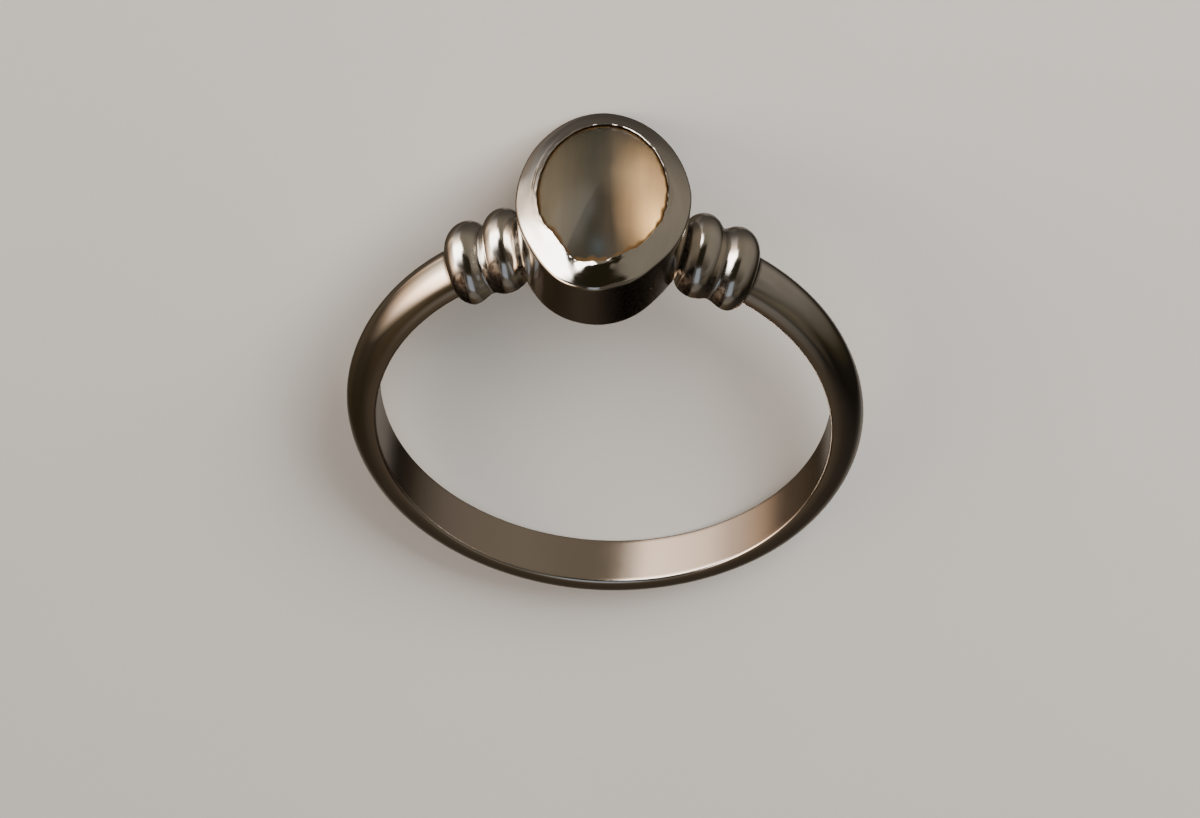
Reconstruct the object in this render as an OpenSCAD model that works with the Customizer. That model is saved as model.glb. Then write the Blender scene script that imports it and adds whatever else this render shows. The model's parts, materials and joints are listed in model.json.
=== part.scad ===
// Silver ring with an oval moonstone held in a heavy burnished cup.
// The band is half round, with two fat rounded collars soldered on each shoulder.
// The ring lies on its side, as it rests by itself: the lower end of the cup and the
// far edge of the band touch the ground, and the finger axis leans by the rest angle.
// X runs across the finger, the cup looks towards -Y, and Z is up from the ground.

/* [Band] */
// Inside diameter of the band, where the finger goes
bore_d = 17; // [16:0.1:19]
// Width of the band along the finger
band_w = 2.1; // [1.9:0.05:2.3]
// Thickness of the band from its inside to its rounded outside
band_t = 1.2; // [1.2:0.05:1.4]
// Bevel that eases the two inner edges of the band
band_bevel = 0.12; // [0.05:0.01:0.14]

/* [Shoulder collars] */
// Thickness of one collar, measured along the band
collar_t = 1.4; // [1.36:0.01:1.42]
// Length of one collar, measured along the finger
collar_l = 3.7; // [3.5:0.05:3.8]
// Height of a collar above the outside of the band
collar_rise = 0.54; // [0.5:0.01:0.58]
// Angle round the finger from the middle of the cup to the inner collar
inner_collar_angle = 22.9; // [22.7:0.1:23.2]
// Angle round the finger from the middle of the cup to the outer collar
outer_collar_angle = 31.7; // [31.5:0.1:32]
// Slant of the collars, whose upper ends lean towards the cup as the ring lies
collar_slant = 4; // [3:0.5:4.5]

/* [Cup] */
// Width of the cup at its ridge, across the finger
cup_w = 6.28; // [6.1:0.02:6.5]
// Length of the cup at its ridge, along the finger
cup_l = 9.08; // [8.9:0.02:9.3]
// Width of the base of the cup
base_w = 6.06; // [5.9:0.02:6.1]
// Length of the base of the cup
base_l = 8.5; // [8.3:0.02:8.6]
// Height of the base of the cup above the middle of the finger hole
base_height = 8.77; // [8.7:0.01:8.9]
// Height of the wall of the cup, from its base up to the ridge
wall_h = 2; // [1.9:0.05:2.1]
// Radius of the rounded ridge
ridge_r = 0.15; // [0.1:0.01:0.2]
// Height of the crest of the rim above the ridge
rim_rise = 0.48; // [0.4:0.02:0.6]
// Fullness of the cup's outline: 2 is an ellipse, and less draws its flanks in
cup_fullness = 1.93; // [1.85:0.01:2.1]

/* [Stone] */
// Width of the stone at its girdle, across the finger
stone_w = 5; // [4.9:0.02:5.1]
// Length of the stone at its girdle, along the finger
stone_l = 7.4; // [7.3:0.02:7.5]
// Width of the opening in the rim that shows the stone
show_w = 4.62; // [4.5:0.02:4.7]
// Length of the opening in the rim that shows the stone
show_l = 7.02; // [6.9:0.02:7.1]
// Thickness of the burnished lip at the opening
lip_t = 0.08; // [0.07:0.01:0.14]
// Radius of the dome across the width of the stone
dome_r = 3.3; // [3:0.05:3.6]
// Height of the stone's seat above the outside of the band
seat_rise = 0.06; // [0.05:0.01:0.2]
// Clear space between the stone and the metal round it
stone_gap = 0.03; // [0.02:0.01:0.04]

/* [Hidden] */
$fn = 96;
silver = [0.84, 0.80, 0.75];
moonstone_cream = [0.86, 0.76, 0.64];

bore_r = bore_d / 2;
band_r = bore_r + band_t;
// The rounded outside of the band is a circle of this radius about this distance
band_round_r = band_w / 2;
band_round_at = band_r - band_round_r;
// The band is drawn this far into the finger hole, and the bore then cuts it flush
bore_allowance = 0.3;

// A collar is a round wire of this radius
wire_r = collar_t / 2;
// The legs of a collar are this much slimmer than its wire, and its two rounded corners this
// much fuller, so that no two surfaces lie in one another
tuck = 0.01;
// Distance from the finger axis at which the wire of a collar starts to bend over the band
shoulder_at = bore_r + 0.3;
// Length of a collar's legs, which reach into the finger hole before it is bored
leg_l = 1.6;
// The bend is one large arc between two corners of the wire's own radius. From half the spread
// of the corners and the rise between them and the crown comes the radius of the wire's middle.
corner_at = collar_l / 2 - wire_r;
bend_rise = band_r + collar_rise - wire_r - shoulder_at;
bend_r = (corner_at * corner_at + bend_rise * bend_rise) / (2 * bend_rise);
bend_at = shoulder_at + bend_rise - bend_r;
bend_angle = asin(corner_at / bend_r);

ridge_height = base_height + wall_h;
crest_height = ridge_height + rim_rise;
seat_height = band_r + seat_rise;
// The dome passes just under the lip, where its half width is that of the opening
function dome_drop(half_width) = dome_r - sqrt(dome_r * dome_r - half_width * half_width);
dome_top = crest_height - lip_t - stone_gap + dome_drop(show_w / 2);
girdle_height = dome_top - dome_drop(stone_w / 2);

// The ring touches the ground with the lower end of the cup's base and with the rounded edge
// of the band at the back. The ground runs through the one and touches the other's circle.
rest_run = base_height + band_round_at;
rest_drop = base_l / 2;
rest_span = sqrt(rest_run * rest_run + rest_drop * rest_drop);
rest_tilt = atan2(rest_drop, rest_run) - asin(band_round_r / rest_span);
bore_lift = rest_drop * cos(rest_tilt) - base_height * sin(rest_tilt);
// The dome and the back of the band are the two ends of the ring along Y. Along its length
// the dome is an ellipse, which reaches this far in the direction of the lean.
dome_r_along = dome_r * stone_l / stone_w;
dome_reach = (dome_top - dome_r) * cos(rest_tilt)
    + sqrt(pow(dome_r * cos(rest_tilt), 2) + pow(dome_r_along * sin(rest_tilt), 2));
back_reach = band_round_at * cos(rest_tilt) + band_round_r;
bore_y = (dome_reach - back_reach) / 2;

// Number of points round each section of the cup and of the stone
round_count = 72;
// Number of steps over the dome, round the ridge and up the rim
dome_steps = 8;
ridge_steps = 4;
rim_steps = 3;

// Sections are rows of [half width, half length, height, fullness of the outline]
function signed_power(value, power) = sign(value) * pow(abs(value), power);
function section_points(row) = [
    for (step = [0 : round_count - 1])
        let (turn = 360 * step / round_count)
            [row[0] * signed_power(cos(turn), 2 / row[3]),
             row[1] * signed_power(sin(turn), 2 / row[3]),
             row[2]]
];

// Closed body through a list of sections, flat across the first one and the last one
module body_through(rows) {
    points = [for (row = rows) each section_points(row)];
    last = (len(rows) - 1) * round_count;
    sides = [
        for (level = [0 : len(rows) - 2])
            for (step = [0 : round_count - 1])
                let (
                    near = level * round_count + step,
                    far = level * round_count + (step + 1) % round_count
                )
                each [[near, near + round_count, far], [far, near + round_count, far + round_count]]
    ];
    first_end = [for (step = [0 : round_count - 1]) step];
    last_end = [for (step = [round_count - 1 : -1 : 0]) last + step];
    polyhedron(points, concat([first_end, last_end], sides), convexity = 6);
}

// Share of the girdle's size that the dome still has at a step, from 0 at the girdle up to
// dome_steps at the top
function dome_scale(step) = cos(90 * step / dome_steps);

// The stone goes straight up from its seat to the girdle, and over the dome to a tiny flat top
flat_top_w = 0.4;
stone_sections = concat(
    [[stone_w / 2, stone_l / 2, seat_height, 2]],
    [
        for (step = [0 : dome_steps - 1])
            let (scale = dome_scale(step))
                [stone_w / 2 * scale,
                 stone_l / 2 * scale,
                 dome_top - dome_drop(stone_w / 2 * scale),
                 2]
    ],
    [[flat_top_w / 2, flat_top_w / 2 * stone_l / stone_w, dome_top, 2]]
);

// The wall, then the rounded ridge, from the lean of the wall to the slope of the rim
wall_lean = atan2((cup_w - base_w) / 2, wall_h);
rim_slope = atan2(rim_rise, (cup_w - show_w) / 2);
ridge_sections = [
    for (step = [0 : ridge_steps])
        let (
            turn = -wall_lean + (90 - rim_slope + wall_lean) * step / ridge_steps,
            inset = ridge_r * (1 - cos(turn))
        )
            [cup_w / 2 - inset, cup_l / 2 - inset, ridge_height + ridge_r * sin(turn), cup_fullness]
];
// The rim swells a little on its way up from the ridge to the crest at the opening
rim_foot = ridge_sections[ridge_steps];
rim_swell = 0.02;
rim_sections = [
    for (step = [1 : rim_steps])
        let (share = step / rim_steps)
            [rim_foot[0] + (show_w / 2 + lip_t / 3 - rim_foot[0]) * share,
             rim_foot[1] + (show_l / 2 + lip_t / 3 - rim_foot[1]) * share,
             rim_foot[2] + (crest_height - rim_foot[2]) * share + rim_swell * sin(180 * share),
             cup_fullness + (2 - cup_fullness) * share]
];
lip_sections = [
    [show_w / 2, show_l / 2, crest_height - lip_t / 3, 2],
    [show_w / 2, show_l / 2, crest_height - lip_t, 2]
];
pocket_sections = [
    [stone_w / 2 + stone_gap, stone_l / 2 + stone_gap, girdle_height + stone_gap, 2],
    [stone_w / 2 + stone_gap, stone_l / 2 + stone_gap, seat_height - stone_gap, 2]
];

// Cup with its plate, wall, ridge and burnished rim, drawn with Z as the height of the setting.
// Its sections run up the outside, over the rim and its lip, and down the pocket to the seat.
module cup() {
    body_through(concat(
        [[base_w / 2, base_l / 2, base_height, cup_fullness]],
        ridge_sections,
        rim_sections,
        lip_sections,
        pocket_sections
    ));
}

// Half-round band with eased inner edges, drawn with the finger axis along Z
module band() {
    inner_edge = band_w / 2 - band_bevel - bore_allowance;
    rotate_extrude() {
        translate([band_round_at, 0]) circle(band_round_r);
        polygon([
            [bore_r - bore_allowance, -inner_edge],
            [bore_r + band_bevel, -band_w / 2],
            [band_round_at, -band_w / 2],
            [band_round_at, band_w / 2],
            [bore_r + band_bevel, band_w / 2],
            [bore_r - bore_allowance, inner_edge]
        ]);
    }
}

// One collar: a thick round wire bent over the band, with its two ends filed flush by the bore.
// It is drawn with X away from the finger, Y along the band and Z along the finger.
module collar() {
    foot = shoulder_at - leg_l;
    bend = [
        for (share = [-1 : 0.25 : 1])
            [bend_at + bend_r * cos(share * bend_angle), bend_r * sin(share * bend_angle)]
    ];
    rotate([90, 0, 0]) {
        translate([bend_at, 0, 0])
            rotate([0, 0, -bend_angle])
                rotate_extrude(angle = 2 * bend_angle) translate([bend_r, 0]) circle(wire_r);
        linear_extrude(collar_t - 2 * tuck, center = true)
            polygon([[foot, -corner_at], each bend, [foot, corner_at]]);
    }
    for (end = [-1, 1]) {
        translate([shoulder_at, 0, end * corner_at]) sphere(wire_r + tuck);
        translate([foot, 0, end * corner_at])
            rotate([0, 90, 0]) cylinder(r = wire_r - tuck, h = leg_l);
    }
}

// Turns the setting from its own upright position to the front of the ring
module at_front() {
    rotate([90, 0, 0]) children();
}

// Leans the ring by its rest angle and sets it on the ground
module lay_on_side() {
    translate([0, bore_y, bore_lift]) rotate([-rest_tilt, 0, 0]) children();
}

// Band, collars and cup are soldered into one piece of silver
module silver_ring() {
    color(silver)
        lay_on_side()
            difference() {
                union() {
                    band();
                    for (side = [-1, 1])
                        for (angle = [inner_collar_angle, outer_collar_angle])
                            rotate([0, 0, side * angle - 90])
                                rotate([side * collar_slant, 0, 0]) collar();
                    at_front() cup();
                }
                cylinder(r = bore_r, h = cup_l, center = true);
            }
}

module moonstone() {
    color(moonstone_cream) lay_on_side() at_front() body_through(stone_sections);
}

silver_ring();
moonstone();
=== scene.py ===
"""Looks of the silver moonstone ring, which lies on its side on a pale floor.

Lengths are in millimetres in the setting's own frame, until to_row() turns them into the row
frame in metres. In the setting's frame x runs across the finger, y along it, and z is the
height above the middle of the finger hole, towards the stone. The room round the ring is in the
row frame, with azimuth 0 towards -Y and 90 towards +X.
"""
import json
import math

import bpy
import numpy as np
from mathutils import Matrix, Vector


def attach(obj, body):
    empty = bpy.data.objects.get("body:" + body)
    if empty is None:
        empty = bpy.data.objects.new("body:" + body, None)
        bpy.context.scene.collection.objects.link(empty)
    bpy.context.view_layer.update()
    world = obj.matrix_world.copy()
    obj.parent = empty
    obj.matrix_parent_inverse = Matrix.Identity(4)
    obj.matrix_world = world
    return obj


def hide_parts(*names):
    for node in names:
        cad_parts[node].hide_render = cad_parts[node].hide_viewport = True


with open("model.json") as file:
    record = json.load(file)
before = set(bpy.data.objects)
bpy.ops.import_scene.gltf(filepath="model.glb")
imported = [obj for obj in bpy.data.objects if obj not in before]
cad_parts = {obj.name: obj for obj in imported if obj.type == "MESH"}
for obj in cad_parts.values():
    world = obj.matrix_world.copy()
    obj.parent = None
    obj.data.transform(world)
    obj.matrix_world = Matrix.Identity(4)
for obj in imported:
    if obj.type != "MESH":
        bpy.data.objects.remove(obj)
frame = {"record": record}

MM = 0.001
FULL_TURN = 2 * math.pi
TINY = 1e-6
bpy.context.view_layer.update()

# The setting's frame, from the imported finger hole
BORE = next(mount for mount in frame["record"]["mounts"] if mount["name"] == "finger_bore")
BORE_AT = np.array(BORE["pos_m"])
ACROSS = np.array([1.0, 0.0, 0.0])
FINGER = np.array(BORE["axis"])
HEIGHT = np.cross(ACROSS, FINGER)
TO_ROW = np.stack([ACROSS, FINGER, HEIGHT])

# Band. Its waves are the filed outside: how many go round, their height and where they start
BORE_R = BORE["dims"]["r_mm"]
BAND_T = 1.2
BAND_HALF = 1.05
BAND_BACK_EXTRA = 0.1
BAND_EASE = 0.1
BAND_ROUND_AT = BORE_R + BAND_T - BAND_HALF
BAND_INSIDE_SKIN = 0.05
BAND_WAVES = [(3, 0.012, 1.0), (8, 0.008, 2.0)]
BAND_FILED = 0.012
BAND_STEPS = 720

# Shoulder collars: side, angle from the middle of the cup, and slant of each in degrees
WIRE_R = 0.7
COLLAR_HALF = 1.87
COLLAR_RISE = 0.54
COLLAR_CORNER_R = 1.3
COLLAR_BEND_AT = BORE_R + 0.25
COLLARS = [
    {"side": 1, "angle": 22.9, "slant": 3.5},
    {"side": 1, "angle": 32.1, "slant": 5.0},
    {"side": -1, "angle": 22.9, "slant": -3.5},
    {"side": -1, "angle": 31.5, "slant": -4.5},
]

# Solder: fillets between the collars, to the band, to the cup and at the finger hole, how deep
# the mesh of a shoulder goes into its neighbours' surfaces, and ripples in the metal
COLLAR_FILLET = 0.4
BAND_FILLET = 0.12
CUP_FILLET = 0.14
HOLE_FILLET = 0.05
SUNK = 0.012
COLLAR_RIPPLE = {"height": 0.004, "length": 1.3, "seed": 5}
SOLDER_RIPPLE = {"height": 0.0048, "length": 0.45, "seed": 8}

# The box round one shoulder's collars, on the +x side, and the cell of its mesh
SHOULDER_LOW = (2.35, -2.15, 7.2)
SHOULDER_HIGH = (6.7, 2.15, 10.6)
SHOULDER_CELL = 0.045

# The flanks of the collars that face +y and +x are painted dark as painted shade, where the y and
# the x of the outward direction rise over these values. The collars are a little satin
PAINTED_SHADE_FROM_UP = (0.42, 0.66)
PAINTED_SHADE_FROM_LEFT = (0.08, 0.26)
COLLAR_SATIN = 0.6

# Cup: half sizes and heights
BASE_HALF = (3.03, 4.25)
RIDGE_HALF = (3.14, 4.54)
SHOW_HALF = (2.31, 3.51)
BASE_HEIGHT = 8.77
RIDGE_HEIGHT = 10.77
CREST_HEIGHT = 11.25
BASE_ROUND_R = 0.06
RIDGE_R = 0.15
RIM_SWELL = 0.015
CUP_FULLNESS = 1.93
OVAL_FULLNESS = 2
LIP_R = 0.045
LIP_T = 0.07
CUP_RIPPLE = {"height": 0.005, "length": 1.8, "seed": 3}
CUP_STEPS = 480

# Levels of the cup's profile. In height the rim follows the lip's soft and fine strays over two
# ranges of them, and its outline takes up the lip's waves from LIP_LEVEL on
AT_BASE, AT_RIDGE, AT_LIP, IN_POCKET = 0, 1, 2, 3
SOFT_LEVELS = (1.15, 2.0)
FINE_LEVELS = (1.9, 2.0)
LIP_LEVEL = 1.7

# Where the filed and burnished cup strays from its even outline: middle and width of each place
# in degrees round the cup, and how far it stands out in millimetres
BASE_STRAYS = [(55, 25, 0.11), (135, 22, -0.11)]
RIDGE_STRAYS = [
    (0, 18, -0.03), (36, 18, -0.10), (66, 11, 0.05), (104, 11, -0.09), (131, 14, -0.10), (182, 25, 0.05),
    (297, 32, 0.09),
]
SHOW_STRAYS = [
    (43, 17, -0.13), (72, 9, 0.10), (112, 20, -0.10), (144, 9, -0.04), (182, 25, 0.03), (230, 8, -0.07),
    (285, 45, 0.06),
]

# Waves of the lip: how many go round it, their height in millimetres and where they start. Its
# burrs and nicks lie round one turn, in radians
LIP_WAVES = [(5, 0.010, 0.4), (11, 0.008, 2.1), (23, 0.007, 1.0), (41, 0.005, 0.3)]
BURRS = {"turn": math.radians(58), "width": 0.35, "out": 0.010}
NICKS = {"turn": math.radians(165), "width": 0.5, "out": 0.006}

# Fine beads and grooves that the burnisher left beside the lip: the middle and the width of each
# in degrees with its height (below 0 for a groove), its distance outside the lip and its half width
LIP_LINES = [
    ((178, 24, -0.022), 0.11, 0.045),
    ((196, 26, 0.006), 0.03, 0.045),
    ((90, 19, 0.034), 0.19, 0.12),
    ((58, 13, 0.012), 0.04, 0.045),
    ((262, 25, 0.008), 0.04, 0.045),
    ((348, 21, -0.030), 0.20, 0.045),
]

# Painted shade, dark as tarnish, on part of the wall of the cup and on part of the lip: middle and
# width in degrees, and strength. Tarnish in the creases reaches this far from where two pieces meet
CUP_PAINTED_SHADE = (117, 34, 0.9)
LIP_PAINTED_SHADE = (186, 42, 0.95)
CREASE_REACH = 0.16

# Stone. Its dome is made of ellipses like that of the opening
GIRDLE_HALF = (2.5, 3.7)
DOME_LONG = SHOW_HALF[1] / SHOW_HALF[0]
SEAT_HEIGHT = BORE_R + BAND_T + 0.06
DOME_R = 3.3
STONE_GAP = 0.03
STONE_LIFT = 0.001
STONE_BEVEL = 0.03
STONE_STEPS = 240
DOME_STEPS = 90

# Grime round the stone: its width, how that varies round it, and how many widths inside the
# lip it starts
GRIME_WIDTH = 0.055
GRIME_WAVES = [(9, 0.02, 1.0), (31, 0.012, 0.0)]
GRIME_REACH = 2

# Silver: clean, under smudges, in the satin finger hole, and dark where tarnished and where shade is
# painted
SILVER_CLEAN = (0.87, 0.81, 0.74)
SILVER_SMUDGED = (0.80, 0.735, 0.66)
SILVER_INSIDE = (0.62, 0.525, 0.45)
SILVER_TARNISH_AND_SHADE = (0.042, 0.031, 0.023)
SMUDGE_ROUGH = ((0.3, 0.06), (0.75, 0.11))
SATIN_ROUGH = 0.13
TARNISH_AND_SHADE_ROUGH = 0.25
SCRATCHES = [
    {"turn": 0.15, "scale": (3.0, 60.0, 60.0)},
    {"turn": 1.1, "scale": (2.0, 40.0, 40.0)},
    {"turn": -0.6, "scale": (2.5, 50.0, 50.0)},
]
SCRATCH_DEPTH = 0.3
GRAIN_HEIGHT = 0.5
SATIN_SMOOTHS = 0.97
RELIEF_UNIT = 0.000001

# Moonstone. Places across it run from 0 on the +x side to 1 on the -x side, and places along it
# from 0 to 1 with y. Clouds move both a little
STONE_ACROSS = 4.8
STONE_ALONG = 7.0
CLOUD_DRIFT = 0.4
# Colour across the stone: grey olive on the +x side, and painted shade in a dark band near the middle
BODY_AND_SHADE_ACROSS = [
    (0.02, (0.110, 0.091, 0.060)),
    (0.12, (0.100, 0.084, 0.055)),
    (0.20, (0.078, 0.065, 0.042)),
    (0.30, (0.054, 0.046, 0.031)),
    (0.42, (0.039, 0.036, 0.026)),
    (0.49, (0.044, 0.038, 0.027)),
    (0.56, (0.064, 0.051, 0.035)),
]
BODY_ALONG = [(0.05, 0.75), (0.3, 0.95), (0.5, 1.0), (0.95, 1.1)]
# Painted light: a peach glow inside the stone towards the -x side, across it and along it
GLOW_ACROSS = [
    (0.55, 0.0),
    (0.63, (0.095, 0.060, 0.030)),
    (0.71, (0.215, 0.130, 0.058)),
    (0.79, (0.36, 0.215, 0.088)),
    (0.95, (0.35, 0.205, 0.084)),
]
GLOW_ALONG = [
    (0.06, 0.06), (0.17, 0.24), (0.27, 0.45), (0.36, 0.70), (0.46, 0.98), (0.80, 1.0), (0.94, 0.35),
]
GLOW_LEAN = -0.02
COOL_SPOT = {"centre": (0.0, 3.0), "half": (0.7, 0.9), "colour": (0.034, 0.040, 0.040)}
# Painted light: the brightest spot of that glow
PAINTED_GLOW_SPOT = {"centre": (-2.1, 1.6), "half": (1.1, 1.9), "colour": (0.90, 0.52, 0.18)}
STREAK_TONES = ((0.3, 0.94), (0.7, 1.05))
SPECK_COLOUR = (0.06, 0.04, 0.025)
SPECK_EDGE = ((0.03, 1.0), (0.055, 0.0))
SPECK_STRENGTH = 0.45
GRIME_COLOUR = (0.085, 0.045, 0.016)
GRIME_ROUGH = 0.3
STONE_ROUGH = 0.24

# The foot of the painted dark band down the stone, a painted reflection of the dark gap between the
# lights: the lean and place of its crisp edge, half the width of that edge, the y over which the foot
# widens, and how dark it is
FLAME_LEAN = -0.43
FLAME_SHIFT = 0.105
FLAME_EDGE = 0.05
FLAME_WIDENS = (0.2, 1.1)
FLAME_DARK = 0.45

# Studio, which only the metal and the light on the stone see: the eye sees the plain backdrop.
# A list over the azimuth or the elevation has stops of (degrees, level), where a level is a
# brightness or a colour for this strength
STUDIO_STRENGTH = 10.0
BACKDROP = (0.62, 0.60, 0.57)
DARK_ROOM = (0.0008, 0.0006, 0.0004)

# Key light on the +X side: the azimuth of its near edge over the elevation, in units of 100
# degrees, and how soft that edge is. It leans a little, and beyond it stands a warm wall
KEY_EDGE_UNIT = 100.0
KEY_EDGE_UP = [
    (-90, 0.16), (-40, 0.20), (-31, 0.17), (-25, 0.10), (-11, 0.06), (-5, 0.15), (6, 0.19), (20, 0.22),
]
KEY_EDGE_SOFT = (-2.0, 3.0)
KEY_LEAN = -0.12
KEY_SHIFT = 2.4
KEY_AROUND = [
    (57, (0.90, 0.88, 0.85)), (66, (0.66, 0.56, 0.47)), (80, (0.48, 0.37, 0.27)), (88, (0.37, 0.26, 0.175)),
    (96, (0.16, 0.12, 0.09)), (101, (0.07, 0.052, 0.038)), (106, (0.02, 0.016, 0.012)), (112, 0.0),
]
KEY_TO_WALL = (57.0, 67.0)
KEY_UP = [
    (-75, 0.0), (-60, 0.004), (-52, 0.02), (-46, 0.045), (-41, (0.088, 0.076, 0.065)),
    (-36, (0.165, 0.140, 0.118)), (-30, (0.30, 0.255, 0.215)), (-25, (0.60, 0.55, 0.50)),
    (-18, (0.95, 0.93, 0.91)), (0, 1.0), (6, 0.6), (12, 0.08), (20, 0.0),
]
WALL_UP = [
    (-90, 0.0), (-60, 0.018), (-48, 0.035), (-42, 0.19), (-37, 0.17), (-32, 0.10), (-22, 0.15),
    (-8, 0.30), (0, 0.40), (10, 0.75), (18, 1.0), (42, 1.0), (52, 0.4), (60, 0.03), (90, 0.0),
]

# Dim fill from the -X side and the front, up to the key light's edge
FILL_AROUND = [
    (-180, 0.0), (-126, 0.0002), (-114, 0.0005), (-106, (0.0022, 0.0019, 0.0010)),
    (-98, (0.0070, 0.0062, 0.0048)), (-88, (0.0108, 0.0102, 0.0082)), (-78, (0.0160, 0.0145, 0.0130)),
    (-68, (0.0185, 0.0168, 0.0145)), (-50, (0.0200, 0.0185, 0.0150)), (-36, (0.0212, 0.0193, 0.0160)),
    (-5, (0.0175, 0.0160, 0.0125)), (60, (0.0165, 0.0150, 0.0120)), (180, 0.0),
]
FILL_UP = [
    (-90, 0.0), (-74, 0.02), (-62, 0.2), (-52, 0.5), (-42, 0.85), (-32, 1.0), (10, 1.0),
    (22, 0.9), (40, 0.8), (55, 0.5), (90, 0.2),
]

# Very dim room at the back, mostly towards +X, and a patch of it at the -X side
SIDE_AROUND = [
    (-180, (0.0030, 0.0022, 0.0014)), (-140, 0.0), (96, 0.0), (106, (0.0052, 0.0040, 0.0026)),
    (128, (0.0030, 0.0022, 0.0012)), (150, (0.0020, 0.0014, 0.0008)), (180, (0.0030, 0.0022, 0.0014)),
]
SIDE_UP = [(-90, 1.2), (-40, 1.3), (-10, 0.7), (20, 0.8), (45, 2.2), (60, 1.0), (90, 0.5)]
FAR_SIDE = {
    "around": [(-132, 0.0), (-122, 0.8), (-104, 1.0), (-90, 0.0)],
    "up": [(24, 0.0), (40, 1.0), (62, 1.0), (76, 0.0)],
    "colour": (0.0080, 0.0069, 0.0052),
}

# Table below the ring, on the front side
TABLE_UP = [
    (-90, (0.0055, 0.0051, 0.0046)), (-72, (0.0060, 0.0056, 0.0050)), (-52, (0.0060, 0.0053, 0.0046)),
    (-30, (0.0020, 0.0016, 0.0012)), (-15, 0.0),
]
TABLE_AROUND = [(-125, 0.0), (-105, 0.3), (-85, 1.0), (85, 1.0), (105, 0.5), (125, 0.1), (150, 0.0)]

# Ceiling in front, and the dark gap between the fill and the key light
CEILING = {
    "around": [(-74, 0.0), (-62, 1.0), (60, 1.0), (70, 0.0)],
    "up": [(10, 0.0), (20, 0.4), (34, 1.0), (48, 1.0), (60, 0.0)],
    "colour": (0.0066, 0.0058, 0.0046),
}
GAP_FROM = (-19.5, -16.5)
GAP_UP = [(-8, 0.0), (0, 1.0), (38, 1.0), (50, 0.0)]
GAP_COLOUR = (0.0010, 0.0009, 0.0004)

# Bluish panel overhead, on a level plane at height 1: half sizes along X and Y, how far its
# middle lies towards -Y, how sharp its edge is, and the least rise that a direction is divided by
PANEL_HALF = (0.30, 0.56)
PANEL_SHIFT = 0.34
PANEL_SHARP = 8.0
PANEL_COLOUR = (0.030, 0.035, 0.042)
LEAST_RISE = 0.01

# Room behind the ring
BEHIND_AROUND = [(-140, 1.0), (-124, 0.0), (138, 0.0), (156, 1.0)]
BEHIND_UP = [
    (-90, (0.020, 0.019, 0.0175)), (-40, (0.016, 0.015, 0.0135)), (-22, (0.004, 0.0037, 0.0032)),
    (-10, (0.0015, 0.0013, 0.0011)), (38, (0.0015, 0.0013, 0.0011)), (52, (0.012, 0.0115, 0.0105)),
    (90, (0.014, 0.0135, 0.0125)),
]

# Soft lights: angles in degrees, distances and sizes in metres, power in watts
SOFTBOXES = [
    {"name": "overhead", "azimuth": -20, "elevation": 68, "distance": 0.5, "size": (0.5, 0.5),
     "power": 0.8, "colour": (1.0, 0.98, 0.95)},
    {"name": "front", "azimuth": -34, "elevation": 30, "distance": 0.3, "size": (0.2, 0.15),
     "power": 1.6, "colour": (1.0, 0.97, 0.93)},
]

# Floor: half its side in metres, and its two tones
FLOOR_HALF = 1.5
FLOOR_TONES = ((0.3, (0.60, 0.585, 0.56)), (0.7, (0.63, 0.615, 0.59)))

# Camera, from a fit to the photograph's edges, as angles in the setting's frame. It looks
# straight at column VIEW_CENTRE_X of a photograph that is IMAGE_WIDTH pixels wide
CAMERA_YAW = math.radians(2.98)
CAMERA_PITCH = math.radians(46.47)
CAMERA_ROLL = math.radians(-0.61)
CAMERA_DISTANCE = 168.8
CAMERA_LENS = 135.0
CAMERA_SENSOR = 36.0
IMAGE_WIDTH = 1200
VIEW_CENTRE_X = 604.5


def to_row(points):
    """Points of the setting's frame, in millimetres, as points of the row frame in metres."""
    return BORE_AT + (np.asarray(points) * MM) @ TO_ROW


def make_camera():
    yaw, pitch, roll = CAMERA_YAW, CAMERA_PITCH, CAMERA_ROLL
    back = np.array([-math.sin(yaw) * math.cos(pitch), math.cos(yaw) * math.cos(pitch), math.sin(pitch)])
    level = np.array([-math.cos(yaw), -math.sin(yaw), 0.0])
    upright = np.cross(back, level)
    right = math.cos(roll) * level + math.sin(roll) * upright
    up = math.cos(roll) * upright - math.sin(roll) * level
    data = bpy.data.cameras.new("camera")
    data.lens = CAMERA_LENS
    data.sensor_width = CAMERA_SENSOR
    data.shift_x = (IMAGE_WIDTH / 2 - VIEW_CENTRE_X) / IMAGE_WIDTH
    data.clip_start = 0.01
    data.clip_end = 10.0
    camera = bpy.data.objects.new("camera", data)
    bpy.context.scene.collection.objects.link(camera)
    place = Matrix.Identity(4)
    for column, direction in enumerate((right, up, back)):
        place.col[column][:3] = direction @ TO_ROW
    place.translation = to_row(back * CAMERA_DISTANCE)
    camera.matrix_world = place
    bpy.context.scene.camera = camera


def turns(steps):
    """Even steps once round, in radians, without the last one, which would be the first again."""
    return np.arange(steps) * (FULL_TURN / steps)


def waviness(turn, waves):
    """Sum of waves that go round the ring or the cup, each a count, a height and a start."""
    return sum(height * np.sin(count * turn + start) for count, height, start in waves)


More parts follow.
